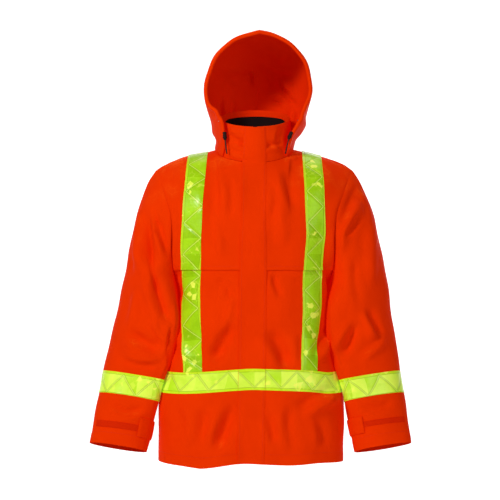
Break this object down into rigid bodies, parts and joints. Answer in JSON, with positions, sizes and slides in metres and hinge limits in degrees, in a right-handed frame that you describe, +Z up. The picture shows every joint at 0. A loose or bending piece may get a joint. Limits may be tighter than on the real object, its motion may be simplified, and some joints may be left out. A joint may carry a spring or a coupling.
{
  "type": "hi-vis work jacket",
  "caption": "Hooded waterproof work jacket with reflective tape on chest, waist and sleeves, closed by a storm flap and filled out as worn.",
  "frame": {"origin": "middle of the neck, level with the neck ends of the shoulder seams, where the wearer's shoulders hold the jacket up", "axes": "+Z up, +X to the wearer's left, -Y out of the front"},
  "size_m": [0.731, 0.2551, 0.9969],
  "materials": {
    "shell": "coated polyester, satin",
    "tape": "prismatic vinyl tape, glossy",
    "loop_strip": "brushed hook-and-loop strip",
    "lining": "matt knitted lining",
    "zip": "moulded zip on woven tape",
    "cord": "braided cord",
    "cord_lock": "moulded",
    "eyelet": "plated"
  },
  "bodies": {
    "root": {"back_lower": "shell", "back_upper": "shell", "collar": "shell", "storm_flap": "shell", "front_zip": "zip", "neck_lining": "lining", "belt_back": "tape", "belt_flap": "tape", "front_lower_right": "shell", "front_yoke_right": "shell", "sleeve_right": "shell", "hood_right": "shell", "cuff_tab_right": "shell", "loop_strip_right": "loop_strip", "sleeve_band_right": "tape", "tape_chest_right": "tape", "tape_front_right": "tape", "tape_back_right": "tape", "belt_front_right": "tape", "hood_cord_right": "cord", "cord_lock_right": "cord_lock", "cord_eyelet_right": "eyelet", "front_lower_left": "shell", "front_yoke_left": "shell", "sleeve_left": "shell", "hood_left": "shell", "cuff_tab_left": "shell", "loop_strip_left": "loop_strip", "sleeve_band_left": "tape", "tape_chest_left": "tape", "tape_front_left": "tape", "tape_back_left": "tape", "belt_front_left": "tape", "hood_cord_left": "cord", "cord_lock_left": "cord_lock", "cord_eyelet_left": "eyelet"}
  },
  "joints": []
}
